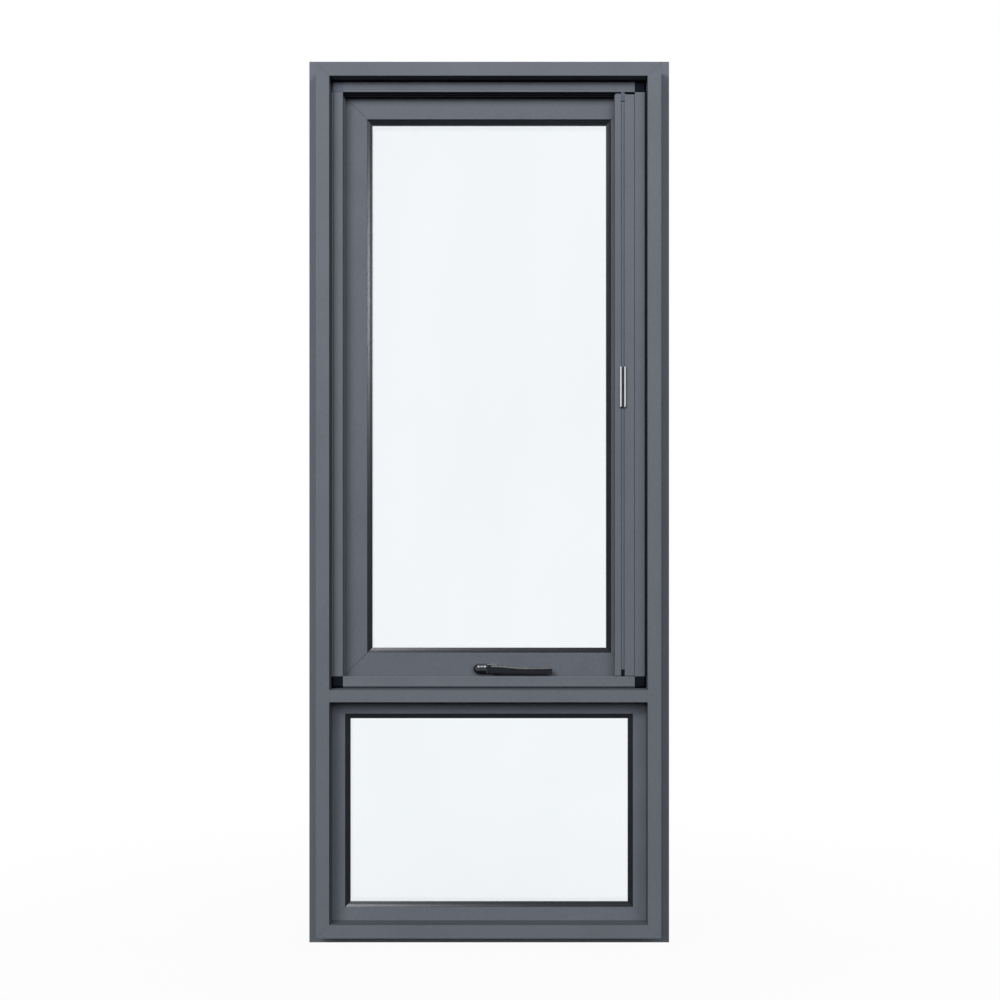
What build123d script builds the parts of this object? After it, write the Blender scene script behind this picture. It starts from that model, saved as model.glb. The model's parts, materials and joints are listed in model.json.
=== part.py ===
from build123d import *
import os

# Outer frame of mitred hollow extrusions, all sizes in millimetres
frame_width = 690.0
frame_height = 1750.0
frame_depth = 115.0
frame_face = 27.0
wall = 2.0
edge_round = 0.8
mitre_line_width = 0.9
mitre_line_depth = 0.6

# Fixing flange round the frame, set back from the room face
flange_width = 21.0
flange_thickness = 3.0
flange_setback = 58.0

# Transom between the opening sash and the fixed light below it
transom_face = 26.7
transom_fall = 2.5
transom_upstand = 22.5
fixed_light_height = 444.8

# Stop leg that the fixed glass, the sash seal and the screen bear on
leg_reach = 26.5
leg_thickness = 4.0
glazing_depth = 70.0

# Sealed glass units and their gaskets
pane_thickness = 6.0
cavity = 12.0
glass_bite = 14.5
gasket_thickness = 6.0
gasket_grip = 8.0
gasket_lip = 10.0
gasket_rib_width = 4.5
gasket_step = 1.5
outer_gasket_lip = 3.5
spacer_reach = 4.5
spacer_height = 15.0

# Glazing beads, clipped in from outside
bead_recess = 4.0
bead_wall = 1.5
bead_chamfer = 4.0

# Opening sash and the bulb seal that it closes on
seal_thickness = 7.0
seal_width = 10.0
seal_inset = 0.5
seal_round = 2.5
sash_gap = 5.0
sash_lip = 6.5
sash_lip_thickness = 4.0
sash_box = 39.5
sash_leg_reach = 19.0
sash_leg_thickness = 3.0
sash_recess = 2.0

# Insect screen profiles, seated on the stop leg on the room side
screen_gap = 1.0
screen_depth = 19.0
screen_width = 23.0
sill_track_width = 22.5
screen_bevel = 3.6
screen_round = 1.5
screen_wall = 1.5
corner_recess = 0.4
screen_joint_width = 0.6
screen_joint_depth = 1.2
track_groove_width = 9.0
track_groove_depth = 7.0
ridge_count = 3
ridge_pitch = 4.6
ridge_width = 1.4
ridge_depth = 0.8
receiver_lip = 3.6
receiver_line_width = 2.0
receiver_line_depth = 2.5
receiver_recess = 2.0
pleat_channel_depth = 14.0

# Pull bar of the screen, parked beside the side frame
bar_width = 40.1
bar_depth = 17.0
bar_side_gap = 0.5
bar_top_gap = 5.0
bar_bottom_gap = 1.5
bar_slot_centre = 16.5
bar_slot_width = 7.6
bar_slot_depth = 3.0
bar_rib_width = 3.0
bar_rib_height = 2.2
bar_round = 1.2
cap_inset = 2.4
cap_foot_width = 20.1
cap_plug_length = 6.0
cap_clearance = 0.3
cap_insert_length = 13.0
cap_rib_gap = 5.0

# Chromed finger pull on the bar
grip_length = 82.0
grip_width = 13.0
grip_wall = 4.2
grip_sink = 1.0
grip_height = 6.0
grip_rise = 582.0
grip_round = 1.2

# Lever handle on the bottom rail of the sash
plate_length = 57.0
plate_height = 20.0
plate_thickness = 4.5
plate_round = 1.5
boss_radius = 9.7
boss_length = 22.6
boss_stand = 8.5
pivot_x = 5.0
plate_reach = 20.0
collar_radius = 7.5
collar_height = 5.5
hub_radius = 9.1
lever_length = 122.5
lever_tip_rise = 3.7
lever_waist = 58.0
lever_waist_rise = 4.4
lever_thickness = 9.0
lever_finger_gap = 16.0
lever_bevel = 2.4
lever_tip_round = 3.0
spindle_radius = 4.0
spindle_length = 9.0
spindle_clearance = 0.05
hub_clearance = 0.3
track_clearance = 5.0

# Levels and widths that follow from the sizes above
underside = flange_width / 2
opening_half = frame_width / 2 - frame_face
sill_top = underside + frame_face
transom_bottom = sill_top + fixed_light_height
transom_top = transom_bottom + transom_face
frame_top = underside + frame_height
head_bottom = frame_top - frame_face

# Depths behind the room face, where the glazing and its leg take up the outer part of the frame
leg_setback = frame_depth - glazing_depth
screen_setback = leg_setback - screen_depth
leg_back = leg_setback + leg_thickness
unit_thickness = 2 * pane_thickness + cavity
fixed_glass_front = leg_back + gasket_thickness
fixed_bead_front = fixed_glass_front + unit_thickness + gasket_thickness
fixed_bead_back = frame_depth - bead_recess
sash_front = leg_back + seal_thickness
sash_back = frame_depth - sash_recess
sash_leg_back = sash_front + sash_leg_thickness
sash_glass_front = sash_leg_back + gasket_thickness
sash_bead_front = sash_glass_front + unit_thickness + gasket_thickness
sash_bead_back = sash_back - bead_recess

# Sash outline, with the lip's edge as its outer edge
sash_half = opening_half - sash_gap
sash_bottom = transom_top + sash_gap
sash_top = head_bottom - sash_gap
sash_rebate = sash_lip + sash_box
sash_sight = sash_rebate + sash_leg_reach

# Screen outline
screen_half = opening_half - screen_gap
screen_bottom = transom_top + screen_gap
screen_top = head_bottom - screen_gap
track_top = screen_bottom + sill_track_width
track_underside = screen_top - screen_width
groove_front = (screen_setback + leg_setback - track_groove_width) / 2
groove_back = groove_front + track_groove_width

# The section's first axis runs inwards from the outer edge, its second axis is depth
section_plane = Plane(origin=(0, 0, 0), x_dir=(0, 0, 1), z_dir=(-1, 0, 0))
side_turns = {"bottom": 0, "left": 90, "top": 180, "right": -90}


def outline(*points):
    return make_face(Polyline(*points, close=True))


def block(low, high):
    return outline((low[0], low[1]), (high[0], low[1]), (high[0], high[1]), (low[0], high[1]))


def rounded(face, corners, radius):
    picked = []
    for vertex in face.vertices():
        for corner in corners:
            if abs(vertex.X - corner[0]) < 0.001 and abs(vertex.Y - corner[1]) < 0.001:
                picked.append(vertex)
    return fillet(picked, radius)


def straight_bar(section, length):
    return extrude(section_plane * section, amount=length / 2, both=True)


def mitre_lines(length, start, end, depth):
    # Fine lines across a face, at each end of a bar, where two bars meet
    middle = (start + end) / 2
    reach = length / 2 - middle
    line = Box(mitre_line_width, 2 * mitre_line_depth, (end - start) * 2 ** 0.5)
    left_line = Pos(-reach, depth, middle) * Rot(0, 45, 0) * line
    return left_line + Pos(reach, depth, middle) * Rot(0, -45, 0) * line


def mitred_bar(section, length, faces):
    reach = section.bounding_box()
    low = reach.min.X - wall
    high = reach.max.X + wall
    bar = straight_bar(section, length - 2 * low)
    half = length / 2
    wedge = outline((-half + low, low), (half - low, low), (half - high, high), (-half + high, high))
    bar = bar & extrude(Plane.XZ * wedge, amount=2 * frame_depth, both=True)
    for start, end, depth in faces:
        bar -= mitre_lines(length, start, end, depth)
    return bar


def on_side(side, bar, middle, edge):
    turned = Rot(0, side_turns[side], 0) * bar
    if side in ("bottom", "top"):
        return Pos(middle, 0, edge) * turned
    return Pos(edge, 0, middle) * turned


def mitred_ring(section, half, low, high, faces=()):
    middle = (low + high) / 2
    across = mitred_bar(section, 2 * half, faces)
    upright = mitred_bar(section, high - low, faces)
    return {
        "bottom": on_side("bottom", across, 0, low),
        "top": on_side("top", across, 0, high),
        "left": on_side("left", upright, middle, -half),
        "right": on_side("right", upright, middle, half),
    }


def closed_ring(section, half, low, high):
    bars = mitred_ring(section, half, low, high)
    return bars["bottom"] + bars["left"] + bars["top"] + bars["right"]


def butted_ring(section, reach, half, low, high):
    middle = (low + high) / 2
    across = straight_bar(section, 2 * half)
    upright = straight_bar(section, high - low - 2 * reach)
    return {
        "bottom": on_side("bottom", across, 0, low),
        "top": on_side("top", across, 0, high),
        "left": on_side("left", upright, middle, -half),
        "right": on_side("right", upright, middle, half),
    }


def chambers(low, high, levels):
    hollows = []
    for start, end in zip(levels[:-1], levels[1:]):
        hollows.append(block((low + wall, start + wall / 2), (high - wall, end - wall / 2)))
    return hollows


def frame_section():
    leg_tip = frame_face + leg_reach
    flange_back = flange_setback + flange_thickness
    section = outline(
        (0, 0), (frame_face, 0), (frame_face, leg_setback), (leg_tip, leg_setback),
        (leg_tip, leg_back), (frame_face, leg_back), (frame_face, frame_depth), (0, frame_depth),
        (0, flange_back), (-flange_width, flange_back), (-flange_width, flange_setback), (0, flange_setback),
    )
    exposed = [(0, 0), (frame_face, 0), (leg_tip, leg_setback), (frame_face, frame_depth), (0, frame_depth)]
    section = rounded(section, exposed, edge_round)
    webs = [wall / 2, (leg_setback + leg_back) / 2, fixed_bead_front, frame_depth - wall / 2]
    for hollow in chambers(0, frame_face, webs):
        section -= hollow
    return section


def transom_bar():
    # The top falls towards the room, so that water runs off it
    upper_tip = transom_face + transom_upstand
    front_height = transom_face - transom_fall
    section = outline(
        (0, 0), (front_height, 0), (transom_face, leg_setback), (upper_tip, leg_setback),
        (upper_tip, leg_back), (transom_face, leg_back), (transom_face, frame_depth), (0, frame_depth),
        (0, leg_back), (-leg_reach, leg_back), (-leg_reach, leg_setback), (0, leg_setback),
    )
    exposed = [(0, 0), (front_height, 0), (upper_tip, leg_setback), (-leg_reach, leg_setback)]
    section = rounded(section, exposed, edge_round)
    webs = [wall / 2, (leg_setback + leg_back) / 2, fixed_bead_front, frame_depth - wall / 2]
    for hollow in chambers(0, front_height, webs):
        section -= hollow
    bar = Pos(0, 0, transom_bottom) * straight_bar(section, 2 * opening_half)
    # The ends are coped round the jambs' stop legs
    cope = Box(leg_reach, leg_thickness, frame_height)
    for side in (-1, 1):
        bar -= Pos(side * (opening_half - leg_reach / 2), leg_setback + leg_thickness / 2, transom_top) * cope
    return bar


def sash_section():
    section = outline(
        (sash_lip, sash_front), (sash_sight, sash_front), (sash_sight, sash_leg_back),
        (sash_rebate, sash_leg_back), (sash_rebate, sash_back), (0, sash_back),
        (0, sash_back - sash_lip_thickness), (sash_lip, sash_back - sash_lip_thickness),
    )
    exposed = [(sash_lip, sash_front), (sash_sight, sash_front), (sash_rebate, sash_back), (0, sash_back)]
    section = rounded(section, exposed, edge_round)
    webs = [sash_front + wall / 2, sash_bead_front, sash_back - wall / 2]
    for hollow in chambers(sash_lip, sash_rebate, webs):
        section -= hollow
    return section


def bead_section(reach, front, back):
    section = outline(
        (0, front), (reach, front), (reach, back - bead_chamfer), (reach - bead_chamfer, back), (0, back)
    )
    return section - offset(section, amount=-bead_wall)


def inner_gasket_section(sight, front):
    # A wedge in two slopes, with a step between them
    back = front + gasket_thickness
    grip = sight - gasket_grip
    rib = sight + gasket_rib_width
    fall = (gasket_thickness - gasket_step) / 2
    return outline(
        (grip, front), (sight, front), (rib, front + fall), (rib, back - fall), (sight + gasket_lip, back),
        (grip, back)
    )


def outer_gasket_section(sight, front):
    back = front + gasket_thickness
    grip = sight - gasket_grip
    return outline((grip, front), (sight + outer_gasket_lip, front), (sight, back), (grip, back))


def glazing(prefix, sight, glass_front, half, low, high):
    edge = sight - glass_bite
    pane = Box(2 * (half - edge), pane_thickness, high - low - 2 * edge)
    middle = (low + high) / 2
    spacer_front = glass_front + pane_thickness
    unit_back = glass_front + unit_thickness
    spacer = block((sight + spacer_reach - spacer_height, spacer_front),
                   (sight + spacer_reach, spacer_front + cavity))
    return {
        prefix + "_inner_pane": Pos(0, glass_front + pane_thickness / 2, middle) * pane,
        prefix + "_outer_pane": Pos(0, unit_back - pane_thickness / 2, middle) * pane,
        prefix + "_spacer": closed_ring(spacer, half, low, high),
        prefix + "_inner_gasket": closed_ring(
            inner_gasket_section(sight, glass_front - gasket_thickness), half, low, high),
        prefix + "_outer_gasket": closed_ring(outer_gasket_section(sight, unit_back), half, low, high),
    }


def weather_seal():
    section = block((0, leg_back), (seal_width, sash_front))
    section = fillet(section.vertices(), seal_round)
    cover = seal_inset + seal_width
    half = opening_half - leg_reach + cover
    return closed_ring(section, half, transom_top + transom_upstand - cover, head_bottom - leg_reach + cover)


def screen_outline(width, front):
    section = outline(
        (0, front + screen_bevel), (screen_bevel, front), (width, front), (width, leg_setback),
        (0, leg_setback)
    )
    section = rounded(section, [(0, front + screen_bevel), (screen_bevel, front)], screen_round)
    return rounded(section, [(width, front)], edge_round)


def track_section(width):
    section = screen_outline(width, screen_setback)
    groove_floor = width - track_groove_depth
    section -= block((groove_floor, groove_front), (width, groove_back))
    section -= block((screen_bevel + screen_wall, groove_front), (groove_floor - screen_wall, groove_back))
    middle = (screen_bevel + width) / 2
    for index in range(ridge_count):
        start = middle + (index - (ridge_count - 1) / 2) * ridge_pitch - ridge_width / 2
        section -= block((start, screen_setback), (start + ridge_width, screen_setback + ridge_depth))
    return section


def receiver_section():
    front = screen_setback
    recess_floor = screen_width - receiver_recess
    section = block((0, front), (screen_width, leg_setback))
    section = rounded(section, [(0, front), (screen_width, front)], edge_round)
    line_end = receiver_lip + receiver_line_width
    section -= block((receiver_lip, front), (line_end, front + receiver_line_depth))
    section -= block((recess_floor, groove_front), (screen_width, groove_back))
    chamber_start = screen_bevel + screen_wall
    return section - block((chamber_start, groove_front), (recess_floor - screen_wall, groove_back))


def side_frame_section():
    section = screen_outline(screen_width, screen_setback)
    return section - block((screen_width - pleat_channel_depth, groove_front), (screen_width, groove_back))


def screen_bar(section, length):
    # Each end has a fine step in its face, which shows as a line at the corner block
    bar = straight_bar(section, length)
    step = Box(2 * screen_joint_width, 2 * screen_joint_depth, 3 * screen_width)
    for end in (-length / 2, length / 2):
        bar -= Pos(end, screen_setback, 0) * step
    return bar


def screen_frame():
    inner_half = screen_half - screen_width
    upright_length = track_underside - track_top
    upright_middle = (track_underside + track_top) / 2
    head = screen_bar(track_section(screen_width), 2 * inner_half)
    sill = screen_bar(track_section(sill_track_width), 2 * inner_half)
    receiver = screen_bar(receiver_section(), upright_length)
    side_frame = screen_bar(side_frame_section(), upright_length)
    pieces = {
        "screen_head_track": on_side("top", head, 0, screen_top),
        "screen_sill_track": on_side("bottom", sill, 0, screen_bottom),
        "screen_receiver": on_side("left", receiver, upright_middle, -screen_half),
        "screen_side_frame": on_side("right", side_frame, upright_middle, screen_half),
    }
    # Each corner block is where a level and an upright outline cross
    corner_front = screen_setback + corner_recess
    levels = [("top", screen_top, screen_width), ("bottom", screen_bottom, sill_track_width)]
    for level, edge, height in levels:
        level_bar = straight_bar(screen_outline(height, corner_front), 2 * screen_half)
        level_bar = on_side(level, level_bar, 0, edge)
        for side, x in (("left", -screen_half), ("right", screen_half)):
            upright = straight_bar(screen_outline(screen_width, corner_front), 2 * height)
            pieces["screen_corner_" + level + "_" + side] = level_bar & on_side(side, upright, edge, x)
    return pieces


def pull_bar():
    right = screen_half - screen_width - bar_side_gap
    left = right - bar_width
    low = track_top + bar_bottom_gap
    high = track_underside - bar_top_gap
    front = screen_setback
    back = front + bar_depth
    slot_left = left + bar_slot_centre - bar_slot_width / 2
    slot_right = slot_left + bar_slot_width
    slot_back = front + bar_slot_depth
    rib_left = left + bar_slot_centre - bar_rib_width / 2
    section = block((left, front), (right, back))
    section = rounded(section, [(left, front), (right, front)], bar_round)
    section -= block((slot_left, front), (slot_right, slot_back))
    section -= block((left + screen_wall, slot_back + screen_wall), (right - screen_wall, back - screen_wall))
    body = Pos(0, 0, low) * extrude(section, high - low)
    # The rib on the slot's floor stops short of the end inserts and the finger pull
    rib = block((rib_left, slot_back - bar_rib_height), (rib_left + bar_rib_width, slot_back))
    cut = cap_insert_length + cap_rib_gap
    grip_low = track_top + grip_rise - grip_length / 2
    for start, end in ((low + cut, grip_low), (grip_low + grip_length, high - cut)):
        body += Pos(0, 0, start) * extrude(rib, end - start)
    return body


def bar_cap(end):
    right = screen_half - screen_width - bar_side_gap
    left = right - bar_width
    slot_middle = left + bar_slot_centre
    slot_back = screen_setback + bar_slot_depth
    foot_left = left + cap_inset
    foot = block((foot_left, groove_front + cap_clearance),
                 (foot_left + cap_foot_width, groove_back - cap_clearance))
    plug = block((left + screen_wall, slot_back + screen_wall),
                 (right - screen_wall, screen_setback + bar_depth - screen_wall))
    insert_half = bar_slot_width / 2 - cap_clearance
    insert = block((slot_middle - insert_half, screen_setback + cap_clearance),
                   (slot_middle + insert_half, slot_back))
    collar = block((slot_middle - insert_half, screen_setback + cap_clearance),
                   (slot_middle + insert_half, groove_front + cap_clearance))
    if end == "top":
        start = track_underside - bar_top_gap
        tongue_end = track_underside + track_groove_depth - cap_clearance
        neck_end = track_underside - cap_clearance
        inwards = -1
    else:
        start = track_top + bar_bottom_gap
        tongue_end = track_top - track_groove_depth + cap_clearance
        neck_end = track_top + cap_clearance
        inwards = 1
    body = Pos(0, 0, start) * extrude(foot, tongue_end - start)
    body += Pos(0, 0, start) * extrude(collar, neck_end - start)
    body += Pos(0, 0, start) * extrude(plug, inwards * cap_plug_length)
    return body + Pos(0, 0, start) * extrude(insert, inwards * cap_insert_length)


def pull_grip():
    right = screen_half - screen_width - bar_side_gap
    middle = right - bar_width + bar_slot_centre
    front = screen_setback - grip_height
    low = track_top + grip_rise - grip_length / 2
    half = grip_width / 2
    tongue_half = bar_slot_width / 2 - cap_clearance
    channel_half = half - grip_wall
    slot_back = screen_setback + bar_slot_depth
    section = block((middle - half, front), (middle + half, screen_setback))
    section += block((middle - tongue_half, screen_setback), (middle + tongue_half, slot_back))
    section -= block((middle - channel_half, front), (middle + channel_half, screen_setback + grip_sink))
    crowns = [vertex for vertex in section.vertices() if abs(vertex.Y - front) < 0.001]
    section = fillet(crowns, grip_round)
    return Pos(0, 0, low) * extrude(section, grip_length)


def handle_height():
    return track_top + track_clearance + hub_radius


def handle_base():
    z = handle_height()
    plate_right = pivot_x + plate_reach
    plate_middle = plate_right - plate_length / 2
    face = Plane(origin=(0, sash_front, z), x_dir=(1, 0, 0), z_dir=(0, -1, 0))
    plate = extrude(face * Pos(plate_middle, 0) * SlotOverall(plate_length, plate_height), plate_thickness)
    rim = plate.faces().sort_by(Axis.Y)[0].edges()
    plate = fillet(rim, plate_round)
    # Barrel with a domed end, lying along the plate
    plate_left = plate_right - plate_length
    dome_x = plate_left + boss_radius
    boss_right = plate_left + boss_length
    barrel = make_face(
        RadiusArc((plate_left, 0), (dome_x, boss_radius), boss_radius)
        + Polyline((dome_x, boss_radius), (boss_right, boss_radius), (boss_right, 0), (plate_left, 0))
    )
    boss = revolve(barrel, Axis.X)
    base = plate + Pos(0, sash_front - boss_stand, z) * boss
    collar_base = Plane(origin=(pivot_x, sash_front, z), x_dir=(1, 0, 0), z_dir=(0, -1, 0))
    base += extrude(collar_base * Circle(collar_radius), plate_thickness + collar_height)
    bore_depth = spindle_length + hub_clearance
    bore_mouth = plate_thickness + collar_height
    bore = extrude(collar_base * Circle(spindle_radius + spindle_clearance), bore_mouth)
    base -= bore & Pos(pivot_x, sash_front - bore_mouth + bore_depth / 2, z) * Box(
        plate_height, bore_depth, plate_height)
    return base - Pos(plate_middle, sash_front + boss_radius, z) * Box(
        2 * plate_length, 2 * boss_radius, 2 * plate_height)


def handle_lever():
    z = handle_height()
    back = sash_front - lever_finger_gap
    face = Plane(origin=(pivot_x, back, z), x_dir=(1, 0, 0), z_dir=(0, -1, 0))
    top = Spline((0, hub_radius), (lever_waist, lever_waist_rise), (lever_length, lever_tip_rise),
                 tangents=((1, 0), (1, 0)))
    rim = top + Polyline((lever_length, lever_tip_rise), (lever_length, -hub_radius), (0, -hub_radius))
    blade_face = make_face(rim + RadiusArc((0, -hub_radius), (0, hub_radius), hub_radius))
    tips = [vertex for vertex in blade_face.vertices() if vertex.X > lever_length - 0.001]
    blade_face = fillet(tips, lever_tip_round)
    blade = extrude(face * blade_face, lever_thickness)
    blade = chamfer(blade.faces().sort_by(Axis.Y)[0].edges(), lever_bevel)
    seat = sash_front - plate_thickness - collar_height - hub_clearance
    hub = Plane(origin=(pivot_x, seat, z), x_dir=(1, 0, 0), z_dir=(0, -1, 0))
    lever = blade + extrude(hub * Circle(hub_radius), seat - back)
    return lever + extrude(hub * Circle(spindle_radius), -spindle_length)


def window():
    pieces = {}
    frame_faces = [(0, frame_face, 0), (frame_face, frame_face + leg_reach, leg_setback)]
    frame_bars = mitred_ring(frame_section(), frame_width / 2, underside, frame_top, frame_faces)
    frame_names = {"bottom": "frame_sill", "top": "frame_head",
                   "left": "frame_left_jamb", "right": "frame_right_jamb"}
    for side, name in frame_names.items():
        pieces[name] = frame_bars[side]
    pieces["transom"] = transom_bar()

    pieces.update(glazing("fixed", leg_reach, fixed_glass_front, opening_half, sill_top, transom_bottom))
    fixed_bead = bead_section(leg_reach, fixed_bead_front, fixed_bead_back)
    fixed_beads = butted_ring(fixed_bead, leg_reach, opening_half, sill_top, transom_bottom)
    for side, bead in fixed_beads.items():
        pieces["fixed_bead_" + side] = bead

    sash_faces = [(sash_lip, sash_sight, sash_front)]
    sash_bars = mitred_ring(sash_section(), sash_half, sash_bottom, sash_top, sash_faces)
    sash_names = {"bottom": "sash_bottom_rail", "top": "sash_top_rail",
                  "left": "sash_left_stile", "right": "sash_right_stile"}
    for side, name in sash_names.items():
        pieces[name] = sash_bars[side]
    pieces.update(glazing("sash", sash_sight, sash_glass_front, sash_half, sash_bottom, sash_top))
    sash_bead = bead_section(sash_leg_reach, sash_bead_front, sash_bead_back)
    sash_beads = butted_ring(sash_bead, sash_leg_reach, sash_half - sash_rebate,
                             sash_bottom + sash_rebate, sash_top - sash_rebate)
    for side, bead in sash_beads.items():
        pieces["sash_bead_" + side] = bead
    pieces["weather_seal"] = weather_seal()

    pieces.update(screen_frame())
    pieces["screen_pull_bar"] = pull_bar()
    pieces["screen_bar_cap_top"] = bar_cap("top")
    pieces["screen_bar_cap_bottom"] = bar_cap("bottom")
    pieces["screen_pull_grip"] = pull_grip()

    pieces["handle_base"] = handle_base()
    pieces["handle_lever"] = handle_lever()
    return pieces


os.makedirs("parts", exist_ok=True)
for node, piece in window().items():
    # The flange's face on the wall is at y = 0, the room face in front of it
    export_step(Pos(0, -flange_setback, 0) * piece, "parts/" + node + ".step")
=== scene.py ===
import json
import math

import bpy
import numpy as np
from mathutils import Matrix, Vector


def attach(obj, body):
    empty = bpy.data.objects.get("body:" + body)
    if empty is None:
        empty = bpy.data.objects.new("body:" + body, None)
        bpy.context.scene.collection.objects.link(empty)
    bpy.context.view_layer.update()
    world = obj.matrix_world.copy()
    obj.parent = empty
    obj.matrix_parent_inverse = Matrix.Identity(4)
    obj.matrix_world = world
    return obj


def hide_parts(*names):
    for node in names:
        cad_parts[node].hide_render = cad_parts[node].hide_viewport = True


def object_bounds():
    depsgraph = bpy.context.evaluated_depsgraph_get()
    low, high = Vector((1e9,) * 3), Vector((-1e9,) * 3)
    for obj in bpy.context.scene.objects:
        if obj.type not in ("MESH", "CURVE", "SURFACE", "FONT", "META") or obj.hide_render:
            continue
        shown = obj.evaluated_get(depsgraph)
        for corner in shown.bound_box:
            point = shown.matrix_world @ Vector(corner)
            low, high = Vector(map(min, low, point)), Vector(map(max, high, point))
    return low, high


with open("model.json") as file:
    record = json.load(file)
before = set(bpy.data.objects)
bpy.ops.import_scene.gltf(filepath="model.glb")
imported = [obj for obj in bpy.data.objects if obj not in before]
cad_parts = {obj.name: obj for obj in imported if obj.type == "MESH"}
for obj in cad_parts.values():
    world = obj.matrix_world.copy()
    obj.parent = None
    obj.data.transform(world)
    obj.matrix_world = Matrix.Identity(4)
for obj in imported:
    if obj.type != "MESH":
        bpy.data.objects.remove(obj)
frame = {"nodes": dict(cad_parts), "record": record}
cadLow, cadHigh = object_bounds()
nodes = frame["nodes"]
print("frame loaded,", len(nodes), "nodes")


# Small helpers for node trees
def freshMaterial(name):
    material = bpy.data.materials.new(name)
    material.use_nodes = True
    tree = material.node_tree
    return material, tree, tree.nodes["Principled BSDF"]


def addNode(tree, kind, inputs=None, **settings):
    node = tree.nodes.new(kind)
    for key, value in settings.items():
        setattr(node, key, value)
    for key, value in (inputs or {}).items():
        node.inputs[key].default_value = value
    return node


def objectPlace(tree, stretch=(1.0, 1.0, 1.0)):
    place = addNode(tree, "ShaderNodeTexCoord").outputs["Object"]
    if stretch == (1.0, 1.0, 1.0):
        return place
    mapping = addNode(tree, "ShaderNodeMapping", {"Scale": stretch})
    tree.links.new(place, mapping.inputs["Vector"])
    return mapping.outputs["Vector"]


def noiseField(tree, place, scale, detail=2.0):
    noise = addNode(tree, "ShaderNodeTexNoise", {"Scale": scale, "Detail": detail})
    tree.links.new(place, noise.inputs["Vector"])
    return noise.outputs["Fac"]


def spread(tree, value, low, high):
    # noise mostly stays between 0.3 and 0.7, so that part is stretched to low..high
    span = addNode(tree, "ShaderNodeMapRange",
                   {"From Min": 0.3, "From Max": 0.7, "To Min": low, "To Max": high})
    tree.links.new(value, span.inputs["Value"])
    return span.outputs["Result"]


def average(tree, first, second):
    total = addNode(tree, "ShaderNodeMath", operation="ADD")
    tree.links.new(first, total.inputs[0])
    tree.links.new(second, total.inputs[1])
    half = addNode(tree, "ShaderNodeMath", operation="MULTIPLY")
    half.inputs[1].default_value = 0.5
    tree.links.new(total.outputs[0], half.inputs[0])
    return half.outputs[0]


def tinted(tree, value, colour, change):
    # the colour, a little darker where the value is low and lighter where it is high
    mix = addNode(tree, "ShaderNodeMix", data_type="RGBA")
    mix.inputs[6].default_value = tuple(c * (1 - change) for c in colour) + (1.0,)
    mix.inputs[7].default_value = tuple(c * (1 + change) for c in colour) + (1.0,)
    tree.links.new(spread(tree, value, 0.0, 1.0), mix.inputs[0])
    return mix.outputs[2]


def bumpFrom(tree, value, depth, strength):
    bump = addNode(tree, "ShaderNodeBump", {"Strength": strength, "Distance": depth})
    tree.links.new(value, bump.inputs["Height"])
    return bump.outputs["Normal"]


# Finishes
def powderCoat(finish):
    # broad clouds and small specks shift the colour, a fine grain sets the gloss and the bump
    material, tree, shader = freshMaterial(finish["name"])
    place = objectPlace(tree)
    cloud = noiseField(tree, place, finish["cloudScale"], 3.0)
    speck = noiseField(tree, place, finish["speckScale"])
    grain = noiseField(tree, place, finish["grainScale"])
    colour = tinted(tree, average(tree, cloud, speck), finish["colour"], finish["change"])
    tree.links.new(colour, shader.inputs["Base Color"])
    shader.inputs["Specular IOR Level"].default_value = finish["gloss"]
    low, high = finish["roughness"]
    tree.links.new(spread(tree, grain, low, high), shader.inputs["Roughness"])
    tree.links.new(bumpFrom(tree, grain, finish["grainDepth"], finish["bump"]), shader.inputs["Normal"])
    return material


def moulded(finish):
    # spark-eroded mould texture on plastic or rubber
    material, tree, shader = freshMaterial(finish["name"])
    place = objectPlace(tree)
    cloud = noiseField(tree, place, finish["cloudScale"], 3.0)
    grain = noiseField(tree, place, finish["grainScale"], 3.0)
    tree.links.new(tinted(tree, cloud, finish["colour"], finish["change"]), shader.inputs["Base Color"])
    shader.inputs["Specular IOR Level"].default_value = finish["gloss"]
    low, high = finish["roughness"]
    tree.links.new(spread(tree, grain, low, high), shader.inputs["Roughness"])
    tree.links.new(bumpFrom(tree, grain, finish["grainDepth"], finish["bump"]), shader.inputs["Normal"])
    return material


def polishedMetal(finish):
    # fine lines along the piece shift the gloss of a metal surface
    material, tree, shader = freshMaterial(finish["name"])
    lines = noiseField(tree, objectPlace(tree, finish["stretch"]), finish["lineScale"], 3.0)
    shader.inputs["Metallic"].default_value = finish["metallic"]
    tree.links.new(tinted(tree, lines, finish["colour"], finish["change"]), shader.inputs["Base Color"])
    low, high = finish["roughness"]
    tree.links.new(spread(tree, lines, low, high), shader.inputs["Roughness"])
    return material


def lacquer(finish):
    # smooth black lacquer with a slight ripple
    material, tree, shader = freshMaterial(finish["name"])
    place = objectPlace(tree)
    cloud = noiseField(tree, place, finish["cloudScale"], 3.0)
    ripple = noiseField(tree, place, finish["rippleScale"])
    shader.inputs["Specular IOR Level"].default_value = finish["gloss"]
    tree.links.new(tinted(tree, cloud, finish["colour"], finish["change"]), shader.inputs["Base Color"])
    low, high = finish["roughness"]
    tree.links.new(spread(tree, ripple, low, high), shader.inputs["Roughness"])
    tree.links.new(bumpFrom(tree, ripple, finish["rippleDepth"], finish["bump"]), shader.inputs["Normal"])
    return material


def floatGlass(finish):
    # clear float glass with a hardly visible drawn ripple
    material, tree, shader = freshMaterial(finish["name"])
    ripple = noiseField(tree, objectPlace(tree, finish["stretch"]), finish["rippleScale"])
    shader.inputs["Transmission Weight"].default_value = 1.0
    shader.inputs["IOR"].default_value = finish["ior"]
    shader.inputs["Roughness"].default_value = 0.0
    tree.links.new(tinted(tree, ripple, finish["colour"], finish["change"]), shader.inputs["Base Color"])
    return material


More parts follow.
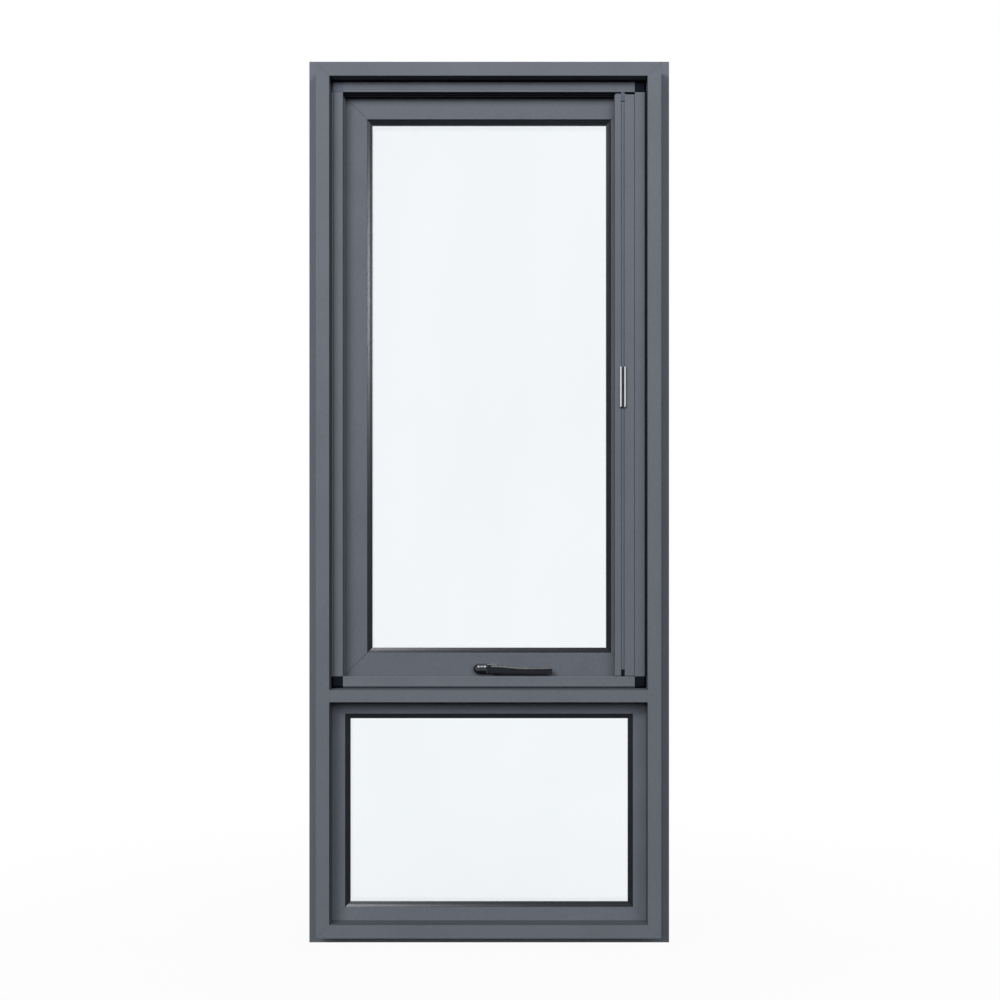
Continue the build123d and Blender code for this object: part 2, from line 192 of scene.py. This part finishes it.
frameCoating = powderCoat({
    "name": "frame_coating", "colour": (0.166, 0.184, 0.217), "change": 0.07, "cloudScale": 9.0,
    "speckScale": 170.0, "grainScale": 2600.0, "grainDepth": 0.00012, "bump": 0.25,
    "roughness": (0.5, 0.66), "gloss": 0.0,
})
sashCoating = powderCoat({
    "name": "sash_coating", "colour": (0.153, 0.168, 0.2), "change": 0.07, "cloudScale": 9.0,
    "speckScale": 170.0, "grainScale": 2600.0, "grainDepth": 0.00012, "bump": 0.25,
    "roughness": (0.5, 0.66), "gloss": 0.0,
})
screenCoating = powderCoat({
    "name": "screen_coating", "colour": (0.161, 0.178, 0.211), "change": 0.06, "cloudScale": 12.0,
    "speckScale": 190.0, "grainScale": 3200.0, "grainDepth": 0.0001, "bump": 0.2,
    "roughness": (0.46, 0.6), "gloss": 0.0,
})
# painted light: a paler copy of the screen coating for the lower track, standing in for the light from above
# on its top and ridges
litTrackCoating = powderCoat({
    "name": "lit_track_coating", "colour": (0.179, 0.198, 0.235), "change": 0.06, "cloudScale": 12.0,
    "speckScale": 190.0, "grainScale": 3200.0, "grainDepth": 0.0001, "bump": 0.2,
    "roughness": (0.46, 0.6), "gloss": 0.0,
})
sealRubber = moulded({
    "name": "seal_rubber", "colour": (0.012, 0.0145, 0.02), "change": 0.2, "cloudScale": 40.0,
    "grainScale": 1800.0, "grainDepth": 0.0001, "bump": 0.3, "roughness": (0.26, 0.34), "gloss": 0.12,
})
blackMoulding = moulded({
    "name": "black_moulding", "colour": (0.005, 0.0065, 0.012), "change": 0.25, "cloudScale": 90.0,
    "grainScale": 2200.0, "grainDepth": 0.0001, "bump": 0.3, "roughness": (0.4, 0.6), "gloss": 0.08,
})
# painted shade: the dark finish of the strip in the pull's channel, standing in for the shade between its
# chrome walls
pullChannelShade = moulded({
    "name": "pull_channel_shade", "colour": (0.042, 0.039, 0.043), "change": 0.15, "cloudScale": 90.0,
    "grainScale": 2200.0, "grainDepth": 0.0001, "bump": 0.3, "roughness": (0.4, 0.6), "gloss": 0.08,
})
greyMoulding = moulded({
    "name": "grey_moulding", "colour": (0.12, 0.134, 0.183), "change": 0.08, "cloudScale": 60.0,
    "grainScale": 2200.0, "grainDepth": 0.0001, "bump": 0.3, "roughness": (0.45, 0.6), "gloss": 0.1,
})
spacerMetal = polishedMetal({
    "name": "spacer_metal", "colour": (0.12, 0.128, 0.15), "change": 0.1, "metallic": 0.3,
    "stretch": (1.0, 1.0, 1.0), "lineScale": 300.0, "roughness": (0.35, 0.5),
})
chromePlate = polishedMetal({
    "name": "chrome_plate", "colour": (0.62, 0.64, 0.67), "change": 0.04, "metallic": 1.0,
    "stretch": (1.0, 1.0, 0.05), "lineScale": 1500.0, "roughness": (0.08, 0.18),
})
handleLacquer = lacquer({
    "name": "handle_lacquer", "colour": (0.012, 0.0145, 0.021), "change": 0.15, "cloudScale": 50.0,
    "rippleScale": 900.0, "rippleDepth": 0.00005, "bump": 0.1, "roughness": (0.14, 0.22),
    "gloss": 0.12,
})
barrelLacquer = lacquer({
    "name": "barrel_lacquer", "colour": (0.013, 0.015, 0.02), "change": 0.15, "cloudScale": 50.0,
    "rippleScale": 900.0, "rippleDepth": 0.00005, "bump": 0.1, "roughness": (0.1, 0.2),
    "gloss": 0.5,
})
windowGlass = floatGlass({
    "name": "window_glass", "colour": (0.942, 0.96, 0.973), "change": 0.006, "ior": 1.5,
    "stretch": (1.0, 1.0, 0.3), "rippleScale": 5.0,
})

slotFinish = {
    "frame_coating": frameCoating, "sash_coating": sashCoating, "screen_coating": screenCoating,
    "glass": windowGlass, "seal_rubber": sealRubber, "spacer": spacerMetal,
    "black_plastic": blackMoulding, "grey_plastic": greyMoulding, "chrome": chromePlate,
    "handle_black": handleLacquer,
}
for subpart in frame["record"]["subparts"]:
    mesh = nodes[subpart["node"]].data
    mesh.materials.clear()
    mesh.materials.append(slotFinish[subpart["material_slot"]])
nodes["screen_sill_track"].data.materials[0] = litTrackCoating  # the lower track gets the paler copy, painted light from above on its top
for pane in ("fixed_inner_pane", "fixed_outer_pane", "sash_inner_pane", "sash_outer_pane"):
    nodes[pane].visible_shadow = False  # lamp light goes through the glass


# Pieces made here: three in place of nodes, and three small ones beside them
def closedShell(rows):
    # quads join each closed row of points to the next one, and a face closes the first and the last row
    count, around = rows.shape[:2]
    index = np.arange(count * around).reshape(count, around)
    beside = np.roll(index, -1, axis=1)
    quads = np.stack([index[:-1], beside[:-1], beside[1:], index[1:]], axis=-1).reshape(-1, 4)
    return rows.reshape(-1, 3), quads, np.stack([index[0, ::-1], index[-1]])


def addPiece(piece, shells):
    points, faces, start = [], [], 0
    for shellPoints, quads, ends in shells:
        points.append(shellPoints)
        faces += (start + quads).tolist() + (start + ends).tolist()
        start += len(shellPoints)
    mesh = bpy.data.meshes.new(piece["name"])
    mesh.from_pydata(np.concatenate(points).tolist(), [], faces)
    mesh.polygons.foreach_set("use_smooth", np.ones(len(faces), dtype=bool))
    mesh.set_sharp_from_angle(angle=math.radians(piece["sharp"]))
    mesh.materials.append(piece["finish"])
    made = bpy.data.objects.new(piece["name"], mesh)
    bpy.context.collection.objects.link(made)
    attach(made, piece["body"])
    if "node" in piece:
        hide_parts(piece["node"])
    print(piece["name"], "made,", len(faces), "faces")


def upright(outline, depth):
    # a flat outline of x and z, set at the depths y
    return np.stack([outline[:, 0], np.broadcast_to(depth, len(outline)), outline[:, 1]], axis=-1)


def insetOutline(outline, amount):
    # each point moves in at right angles to the line through its neighbours
    along = np.roll(outline, -1, axis=0) - np.roll(outline, 1, axis=0)
    along /= np.linalg.norm(along, axis=1, keepdims=True)
    return outline + amount * np.stack([-along[:, 1], along[:, 0]], axis=-1)


def turnedShell(centre, along, radius, axis, count, furthest):
    # circles of the given radii along an axis, kept on the room side of the furthest depth
    angle = np.linspace(0, 2 * np.pi, count, endpoint=False)
    first = radius[:, None] * np.cos(angle)
    second = radius[:, None] * np.sin(angle)
    level = np.broadcast_to(along[:, None], first.shape)
    if axis == "x":
        rows = np.stack([level, centre[1] + first, centre[2] + second], axis=-1)
    else:
        rows = np.stack([centre[0] + first, level, centre[2] + second], axis=-1)
    rows[..., 1] = np.minimum(rows[..., 1], furthest)
    return closedShell(rows)


lever = {
    "name": "lever_skin", "node": "handle_lever", "body": "handle", "slot": "handle_black", "sharp": 16.0,
    "finish": handleLacquer,
    "pivot": (0.005, 0.5466), "back": -0.018, "front": -0.027, "seat": -0.0123, "hub": 0.0091,
    "length": 0.1225, "tipRise": 0.0037, "tipFall": 0.0016, "fall": 0.33, "tipRound": 0.003,
    "tipSquare": 0.4, "backRound": 0.0012, "leftHigh": 0.0072, "leftLow": 0.0125, "leftBlend": 0.06,
    "topBevel": (0.0046, 0.003), "bottomBevel": (0.0018, 0.0007), "tipBevel": 0.0009, "slope": 0.48,
    "fullness": 0.04, "neckRadius": 0.009, "neckEdge": 0.0002, "neckSink": 0.001,
    "points": 44, "backRows": 8, "bevelRows": 7, "neckPoints": 64,
}


def leverOutlines(p):
    # rim: straight underside that sinks a little, squarish tip, top that falls from the hub like a bell
    # curve, round left end; face: the same four stretches further in, with a slanted left end
    share = np.linspace(0, 1, p["points"], endpoint=False)
    hub, flat = p["hub"], p["length"] - p["tipRound"]
    tipLow = hub + p["tipFall"]
    faceFlat = flat - p["tipBevel"]
    leftHigh, leftLow = p["leftHigh"] - hub, p["leftLow"] - hub
    underWidth = p["bottomBevel"][0] + share * (p["bottomBevel"][1] - p["bottomBevel"][0])
    sink = hub + share * p["tipFall"]
    under = np.stack([share * flat, -sink], axis=-1)
    faceUnder = np.stack([leftLow + share * (faceFlat - leftLow), underWidth - sink], axis=-1)
    swing = np.pi * (share - 0.5)
    bulge = p["tipRound"] * np.abs(np.cos(swing)) ** p["tipSquare"]
    rise = np.sign(np.sin(swing)) * np.abs(np.sin(swing)) ** p["tipSquare"]
    tip = np.stack([flat + bulge, (p["tipRise"] - tipLow) / 2 + rise * (p["tipRise"] + tipLow) / 2], axis=-1)
    faceHigh, faceLow = p["tipRise"] - p["topBevel"][1], p["bottomBevel"][1] - tipLow
    faceTip = np.stack([faceFlat + bulge, (faceHigh + faceLow) / 2 + rise * (faceHigh - faceLow) / 2],
                       axis=-1)
    place = (1 - share) * flat
    bell = p["tipRise"] + (hub - p["tipRise"]) * np.exp(-(place / (p["fall"] * p["length"])) ** 2)
    topWidth = p["topBevel"][1] + share * (p["topBevel"][0] - p["topBevel"][1])
    top = np.stack([place, bell], axis=-1)
    faceTop = np.stack([faceFlat + share * (leftHigh - faceFlat), bell - topWidth], axis=-1)
    turn = np.pi * (0.5 + share)
    left = hub * np.stack([np.cos(turn), np.sin(turn)], axis=-1)
    leftEnds = np.array([[leftHigh, hub - p["topBevel"][0]], [leftLow, p["bottomBevel"][0] - hub]])
    faceLeft = leftEnds[0] + share[:, None] * (leftEnds[1] - leftEnds[0])
    near = np.exp(-(share / p["leftBlend"]) ** 2)  # the underside's bevel deepens towards the left end
    underDepth = underWidth + near * (leftLow - underWidth)
    rim = np.concatenate([under, tip, top, left])
    face = np.concatenate([faceUnder, faceTip, faceTop, faceLeft])
    width = np.linalg.norm(face - rim, axis=1)
    width[:len(share)] = underDepth
    return rim + np.array(p["pivot"]), face + np.array(p["pivot"]), p["slope"] * width


def leverShells(p):
    # rows go from the back face round its edge, up the wall and over a slightly full bevel to the face
    rim, face, depth = leverOutlines(p)
    rows = []
    for turn in np.linspace(0, np.pi / 2, p["backRows"]):
        edge = insetOutline(rim, p["backRound"] * (1 - np.sin(turn)))
        rows.append(upright(edge, p["back"] - p["backRound"] * (1 - np.cos(turn))))
    for part in np.linspace(0, 1, p["bevelRows"]):
        height = part + p["fullness"] * np.sin(np.pi * part)
        rows.append(upright(rim + part * (face - rim), p["front"] + depth * (1 - height)))
    # neck: a short cylinder with a broken edge, from its seat into the lever's back
    along = np.array([p["seat"], p["seat"] - p["neckEdge"], p["back"] - p["neckSink"]])
    radius = p["neckRadius"] - np.array([p["neckEdge"], 0.0, 0.0])
    centre = (p["pivot"][0], 0.0, p["pivot"][1])
    neck = turnedShell(centre, along, radius, "y", p["neckPoints"], 0.0)
    return [closedShell(np.stack(rows)), neck]


addPiece(lever, leverShells(lever))

base = {
    "name": "handle_base_skin", "node": "handle_base", "body": "window", "slot": "handle_black",
    "sharp": 24.0, "finish": barrelLacquer,
    "height": 0.5466, "wall": -0.002, "plateMiddle": -0.0035, "plateLength": 0.057, "plateRadius": 0.01,
    "plateDepth": 0.0045, "plateRound": 0.0015, "barrelStart": -0.0318, "barrelEnd": -0.006,
    "barrelRadius": 0.0097, "barrelStand": 0.0085, "endRound": 0.0004, "rings": (-0.0174, -0.0142, -0.011),
    "ringWidth": 0.0006, "ringDepth": 0.0006, "pivot": 0.005, "collarRadius": 0.0075, "collarEnd": -0.012,
    "collarEdge": 0.0003, "collarSink": 0.001, "ballStart": 0.03, "platePoints": 96, "plateRows": 7,
    "ballRows": 24, "runRows": 110, "barrelPoints": 72, "collarPoints": 64,
}


def baseShells(p):
    # plate: a stadium with a rounded front edge
    turn = np.linspace(-np.pi / 2, 1.5 * np.pi, p["platePoints"], endpoint=False)
    ends = np.where(np.cos(turn) > 1e-9, 1.0, -1.0) * (p["plateLength"] / 2 - p["plateRadius"])
    plateOutline = np.stack([p["plateMiddle"] + ends + p["plateRadius"] * np.cos(turn),
                             p["height"] + p["plateRadius"] * np.sin(turn)], axis=-1)
    shoulder = p["wall"] - p["plateDepth"] + p["plateRound"]
    rows = [upright(plateOutline, p["wall"])]
    for lean in np.linspace(0, np.pi / 2, p["plateRows"]):
        edge = insetOutline(plateOutline, p["plateRound"] * (1 - np.cos(lean)))
        rows.append(upright(edge, shoulder - p["plateRound"] * np.sin(lean)))
    # barrel: half a ball, then a cylinder with ring grooves and a rounded end
    radius = p["barrelRadius"]
    bow = radius * (1 - np.cos(np.linspace(p["ballStart"], np.pi / 2, p["ballRows"])))
    run = np.linspace(radius, p["barrelEnd"] - p["barrelStart"], p["runRows"])[1:]
    along = p["barrelStart"] + np.concatenate([bow, run])
    size = np.sqrt(np.maximum(radius ** 2 - np.maximum(radius - (along - p["barrelStart"]), 0.0) ** 2, 0.0))
    for ring in p["rings"]:
        size -= p["ringDepth"] * np.exp(-((along - ring) / p["ringWidth"]) ** 4)
    over = np.maximum(along - (p["barrelEnd"] - p["endRound"]), 0.0)
    size -= p["endRound"] - np.sqrt(np.maximum(p["endRound"] ** 2 - over ** 2, 0.0))
    barrelCentre = (0.0, p["wall"] - p["barrelStand"], p["height"])
    barrel = turnedShell(barrelCentre, along, size, "x", p["barrelPoints"], p["wall"])
    # collar: a cylinder round the spindle with a broken edge
    collarAlong = np.array([p["wall"] - p["collarSink"], p["collarEnd"] + p["collarEdge"], p["collarEnd"]])
    collarRadius = p["collarRadius"] - np.array([0.0, 0.0, p["collarEdge"]])
    collarCentre = (p["pivot"], 0.0, p["height"])
    collar = turnedShell(collarCentre, collarAlong, collarRadius, "y", p["collarPoints"], p["wall"])
    return [closedShell(np.stack(rows)), barrel, collar]


addPiece(base, baseShells(base))

pull = {
    "name": "finger_pull_skin", "node": "screen_pull_grip", "body": "window", "slot": "chrome", "sharp": 40.0,
    "finish": chromePlate,
    "middle": 0.2699, "face": -0.032, "low": 1.0735, "length": 0.082, "half": 0.0064, "wall": 0.0043,
    "height": 0.006, "crown": 0.0019, "sink": 0.001, "tongueHalf": 0.0034, "tongue": 0.0028,
    "slant": 0.0035, "crownPoints": 9,
}


def pullShells(p):
    # profile: two walls with round crowns on a tongue; each wall's lower end rises to the right
    quarter = np.linspace(0, np.pi / 2, p["crownPoints"])
    early, late = p["crown"] * (1 - np.cos(quarter)), p["crown"] * (1 - np.sin(quarter))
    front, inner = p["face"] - p["height"], p["half"] - p["wall"]
    curve = []
    for outside, inside in ((-p["half"], -inner), (inner, p["half"])):
        curve.append(np.stack([outside + early, front + late], axis=-1))
        curve.append(np.stack([inside - late, front + early], axis=-1))
    floor = np.array([[-inner, p["face"] + p["sink"]], [inner, p["face"] + p["sink"]]])
    tongue, rear = p["tongueHalf"], p["face"] + p["tongue"]
    back = np.array([[p["half"], p["face"]], [tongue, p["face"]], [tongue, rear],
                     [-tongue, rear], [-tongue, p["face"]], [-p["half"], p["face"]]])
    profile = np.concatenate([curve[0], curve[1], floor, curve[2], curve[3], back])
    across = np.where(profile[:, 0] < 0, profile[:, 0] + p["half"], profile[:, 0] - inner) / p["wall"]
    lowEnd = p["low"] + p["slant"] * np.clip(across, 0.0, 1.0)
    rows = []
    for level in (lowEnd, np.full(len(profile), p["low"] + p["length"])):
        rows.append(np.stack([p["middle"] + profile[:, 0], profile[:, 1], level], axis=-1))
    return [closedShell(np.stack(rows))]


addPiece(pull, pullShells(pull))

# painted shade: a dark strip where the chrome floor of the pull's channel would otherwise look bright
pullShadeStrip = {
    "name": "finger_pull_painted_shade", "body": "window", "slot": "black_plastic", "sharp": 40.0,
    "finish": pullChannelShade,
    "middle": 0.2699, "half": 0.00205, "front": -0.0352, "back": -0.0305, "low": 1.0745, "high": 1.1549,
}


def pullShadeShell(p):
    # a flat dark strip that fills the floor of the pull's channel, painted shade standing in for the dark
    # look of the channel between the chrome walls
    corner = np.array([[-1, 0], [1, 0], [1, 1], [-1, 1]])
    across = p["middle"] + p["half"] * corner[:, 0]
    depth = p["front"] + (p["back"] - p["front"]) * corner[:, 1]
    rows = [np.stack([across, depth, np.full(len(corner), level)], axis=-1)
            for level in (p["low"], p["high"])]
    return [closedShell(np.stack(rows))]


addPiece(pullShadeStrip, pullShadeShell(pullShadeStrip))

# painted shade: a black strip along the side frame's outer edge, in the gap by the jamb
edgeShadeStrip = {
    "name": "screen_edge_painted_shade", "body": "window", "slot": "black_plastic", "sharp": 40.0,
    "finish": blackMoulding,
    "inner": 0.3141, "outer": 0.3179, "foot": 0.317, "front": -0.031, "back": -0.0284, "fin": 0.3173,
    "finFront": -0.037, "low": 0.533, "high": 1.709, "wander": 0.0004,
    "waves": ((91, 0.0), (247, 1.3), (613, 4.1)), "rows": 400,
}


def edgeShadeShell(p):
    # a dark strip, painted shade standing in for the shade in the gap between the side frame and the jamb: it
    # lies straight on the side frame's bevel, its free edge wanders as the mean of three waves along it, and
    # a thin fin stands forward against the jamb
    level = np.linspace(p["low"], p["high"], p["rows"])
    wave = sum(np.sin(rate * level + start) for rate, start in p["waves"])
    inner = p["inner"] + p["wander"] * wave / len(p["waves"])
    fixed = np.broadcast_to([p["fin"], p["fin"], p["outer"], p["outer"], p["foot"]], (len(level), 5))
    across = np.concatenate([inner[:, None], fixed], axis=1)
    depth = np.broadcast_to([p["front"], p["front"], p["finFront"], p["finFront"], p["back"], p["back"]],
                            across.shape)
    return [closedShell(np.stack([across, depth, np.broadcast_to(level[:, None], across.shape)], axis=-1))]


addPiece(edgeShadeStrip, edgeShadeShell(edgeShadeStrip))

seams = {
    "name": "sash_mitre_seams", "body": "window", "slot": "seal_rubber", "sharp": 40.0, "finish": sealRubber,
    "half": 0.00013, "front": -0.00168, "back": -0.0013, "inner": (0.2483, 0.5787, 1.6638),
    "outer": (0.3054, 0.5216, 1.7209),
}


def seamShells(p):
    # a thin strip of sealant in each mitre of the sash, from its inner corner to its outer one;
    # inner and outer hold half the width, the low level and the high level of these corners
    shells = []
    for side, end in ((-1, 1), (1, 1), (-1, 2), (1, 2)):
        inner = np.array([side * p["inner"][0], p["inner"][end]])
        outer = np.array([side * p["outer"][0], p["outer"][end]])
        along = (outer - inner) / np.linalg.norm(outer - inner)
        across = p["half"] * np.array([along[1], -along[0]])
        rows = []
        for place in (inner, outer):
            corners = np.stack([place - across, place + across, place + across, place - across])
            depth = np.array([p["front"], p["front"], p["back"], p["back"]])
            rows.append(upright(corners, depth))
        shells.append(closedShell(np.stack(rows)))
    return shells


addPiece(seams, seamShells(seams))


# Camera straight on from the room, a little right of the middle and below it
view = {"place": (0.0767, -3.058, 0.7171), "lens": 54.1, "sensor": 36.0, "shift": (-0.0269, 0.0848)}
cameraData = bpy.data.cameras.new("camera")
cameraData.lens = view["lens"]
cameraData.sensor_width = view["sensor"]
cameraData.shift_x, cameraData.shift_y = view["shift"]
camera = bpy.data.objects.new("camera", cameraData)
camera.location = view["place"]
camera.rotation_euler = (math.radians(90), 0, 0)
bpy.context.collection.objects.link(camera)
bpy.context.scene.camera = camera
bpy.context.scene.view_settings.view_transform = "Standard"


# Light
def softLamp(lamp):
    data = bpy.data.lights.new(lamp["name"], "AREA")
    data.shape = "RECTANGLE"
    data.size, data.size_y = lamp["size"]
    data.energy = lamp["watts"]
    data.color = lamp["colour"]
    made = bpy.data.objects.new(lamp["name"], data)
    made.location = lamp["place"]
    aim = Vector(lamp["aim"]) - Vector(lamp["place"])
    made.rotation_euler = aim.to_track_quat("-Z", "Y").to_euler()
    if "only" in lamp:
        # a strip that shows in the gloss of the named pieces alone, as behind a card with a slot in it
        made.visible_diffuse = False
        group = bpy.data.collections.new(lamp["name"])
        for piece in lamp["only"]:
            group.objects.link(piece)
        made.light_linking.receiver_collection = group
    made.visible_glossy = "only" in lamp  # any other lamp in front of the glass would show in it
    made.visible_transmission = "only" in lamp
    bpy.context.collection.objects.link(made)


def softSun(lamp):
    # light from a wide far source, so that its slope is the same at the head and at the sill
    data = bpy.data.lights.new(lamp["name"], "SUN")
    data.energy = lamp["strength"]
    data.angle = math.radians(lamp["width"])
    data.color = lamp["colour"]
    made = bpy.data.objects.new(lamp["name"], data)
    side, rise = math.radians(lamp["side"]), math.radians(lamp["rise"])
    towards = Vector((-math.sin(side) * math.cos(rise), math.cos(side) * math.cos(rise), -math.sin(rise)))
    made.rotation_euler = towards.to_track_quat("-Z", "Y").to_euler()
    made.visible_glossy = False
    made.visible_transmission = False
    bpy.context.collection.objects.link(made)


warmWhite, plainWhite = (1.0, 0.99, 0.98), (1.0, 1.0, 1.0)
# a fan of four suns in front, a little stronger at its two ends
for side, strength in ((-31.0, 0.47), (-11.0, 0.39), (11.0, 0.4), (31.0, 0.46)):
    softSun({"name": "front_sun", "side": side, "rise": 17.0, "width": 26.0, "strength": strength,
             "colour": warmWhite})
softLamp({"name": "left_high", "place": (-1.5, -3.2, 2.65), "aim": (0, 0, 1.3), "size": (1.6, 0.8),
          "watts": 52.0, "colour": warmWhite})
softLamp({"name": "right_high", "place": (0.6, -1.6, 2.6), "aim": (0.1, 0, 1.5), "size": (0.8, 0.4),
          "watts": 7.0, "colour": warmWhite})
softLamp({"name": "back_fill", "place": (0.8, 3.4, 0.75), "aim": (0, 0, 0.9), "size": (3.0, 2.0),
          "watts": 60.0, "colour": plainWhite})
# three lamps in the window's own plane reach only its outer sides and its top
for name, place, aim, size in (("left_side", (-4.0, 0.0, 0.95), (0, 0, 0.95), (0.1, 1.6)),
                               ("right_side", (4.0, 0.0, 0.95), (0, 0, 0.95), (0.1, 1.6)),
                               ("top_side", (0.0, 0.03, 5.0), (0, 0.03, 1.8), (1.2, 0.05))):
    softLamp({"name": name, "place": place, "aim": aim, "size": size, "watts": 24.0, "colour": plainWhite})
handleSkins = [bpy.data.objects["lever_skin"], bpy.data.objects["handle_base_skin"]]
gaskets = [nodes["sash_inner_gasket"], nodes["fixed_inner_gasket"]]
softLamp({"name": "high_strip", "place": (-0.1, -1.3, 3.9), "aim": (0, -0.05, 0.9), "size": (1.2, 0.15),
          "watts": 78.0, "colour": (0.72, 0.84, 1.0), "only": handleSkins})
softLamp({"name": "bevel_strip", "place": (0.1, -2.6, 3.7), "aim": (0, -0.05, 0.9), "size": (2.2, 0.4),
          "watts": 95.0, "colour": (1.0, 0.98, 0.93), "only": handleSkins})
softLamp({"name": "sill_sheen", "place": (-0.9, -2.6, 2.6), "aim": (-0.2, 0, 0.3), "size": (0.5, 0.8),
          "watts": 180.0, "colour": (0.93, 0.97, 1.0), "only": gaskets})
softLamp({"name": "side_sheen", "place": (2.2, -2.05, 1.95), "aim": (-0.25, 0, 1.4), "size": (0.5, 0.5),
          "watts": 130.0, "colour": (0.88, 0.92, 1.0), "only": gaskets})


def seenRay(tree):
    # one for rays from the camera, mirrors and glass, nought for rays that carry light to a matt surface
    rays = addNode(tree, "ShaderNodeLightPath")
    first = addNode(tree, "ShaderNodeMath", operation="MAXIMUM")
    tree.links.new(rays.outputs["Is Camera Ray"], first.inputs[0])
    tree.links.new(rays.outputs["Is Glossy Ray"], first.inputs[1])
    second = addNode(tree, "ShaderNodeMath", operation="MAXIMUM")
    tree.links.new(first.outputs[0], second.inputs[0])
    tree.links.new(rays.outputs["Is Transmission Ray"], second.inputs[1])
    direct = addNode(tree, "ShaderNodeMath", operation="LESS_THAN")
    direct.inputs[1].default_value = 0.5
    tree.links.new(rays.outputs["Diffuse Depth"], direct.inputs[0])
    seen = addNode(tree, "ShaderNodeMath", operation="MULTIPLY")
    tree.links.new(second.outputs[0], seen.inputs[0])
    tree.links.new(direct.outputs[0], seen.inputs[1])
    return seen.outputs[0]


def studioWorld(sky):
    world = bpy.data.worlds.new("studio")
    world.use_nodes = True
    tree = world.node_tree
    tree.nodes.clear()
    seen = addNode(tree, "ShaderNodeBackground", {"Color": sky["seen"], "Strength": 1.0})
    light = addNode(tree, "ShaderNodeBackground", {"Color": sky["light"], "Strength": sky["strength"]})
    mix = addNode(tree, "ShaderNodeMixShader")
    out = addNode(tree, "ShaderNodeOutputWorld")
    tree.links.new(seenRay(tree), mix.inputs[0])
    tree.links.new(light.outputs[0], mix.inputs[1])
    tree.links.new(seen.outputs[0], mix.inputs[2])
    tree.links.new(mix.outputs[0], out.inputs[0])
    bpy.context.scene.world = world


studioWorld({"seen": (1, 1, 1, 1), "light": (0.95, 0.97, 1.0, 1), "strength": 0.01})


def studioFloor(floor):
    # a flat square under the flange, white in the distance and white with the soft shadow nearby
    half = floor["half"]
    level = cadLow[2] - floor["drop"]
    corners = [(-half, -half, level), (half, -half, level), (half, half, level), (-half, half, level)]
    mesh = bpy.data.meshes.new("floor")
    mesh.from_pydata(corners, [], [(0, 1, 2, 3)])
    material, tree, shader = freshMaterial("floor_paint")
    shader.inputs["Roughness"].default_value = floor["roughness"]
    shader.inputs["Specular IOR Level"].default_value = 0.0
    # the share of plain white grows with the distance from the window
    away = addNode(tree, "ShaderNodeVectorMath", operation="LENGTH")
    tree.links.new(objectPlace(tree), away.inputs[0])
    share = addNode(tree, "ShaderNodeMapRange", {
        "From Min": floor["near"], "From Max": floor["far"], "To Min": floor["white"], "To Max": 1.0})
    tree.links.new(away.outputs["Value"], share.inputs["Value"])
    factor = addNode(tree, "ShaderNodeMath", operation="MULTIPLY")
    tree.links.new(share.outputs["Result"], factor.inputs[0])
    tree.links.new(seenRay(tree), factor.inputs[1])
    # little light comes back up from it
    bounce = addNode(tree, "ShaderNodeMix", data_type="RGBA")
    bounce.inputs[6].default_value = floor["bounce"]
    bounce.inputs[7].default_value = floor["colour"]
    tree.links.new(seenRay(tree), bounce.inputs[0])
    tree.links.new(bounce.outputs[2], shader.inputs["Base Color"])
    white = addNode(tree, "ShaderNodeEmission", {"Color": (1, 1, 1, 1), "Strength": 1.0})
    mix = addNode(tree, "ShaderNodeMixShader")
    tree.links.new(factor.outputs[0], mix.inputs[0])
    tree.links.new(shader.outputs[0], mix.inputs[1])
    tree.links.new(white.outputs[0], mix.inputs[2])
    tree.links.new(mix.outputs[0], tree.nodes["Material Output"].inputs["Surface"])
    mesh.materials.append(material)
    plane = bpy.data.objects.new("floor", mesh)
    bpy.context.collection.objects.link(plane)


studioFloor({"half": 25.0, "drop": 0.0005, "colour": (0.85, 0.85, 0.85, 1),
             "bounce": (0.05, 0.05, 0.05, 1), "near": 0.5, "far": 1.8, "white": 0.95, "roughness": 0.9})
print("camera, light and floor set")
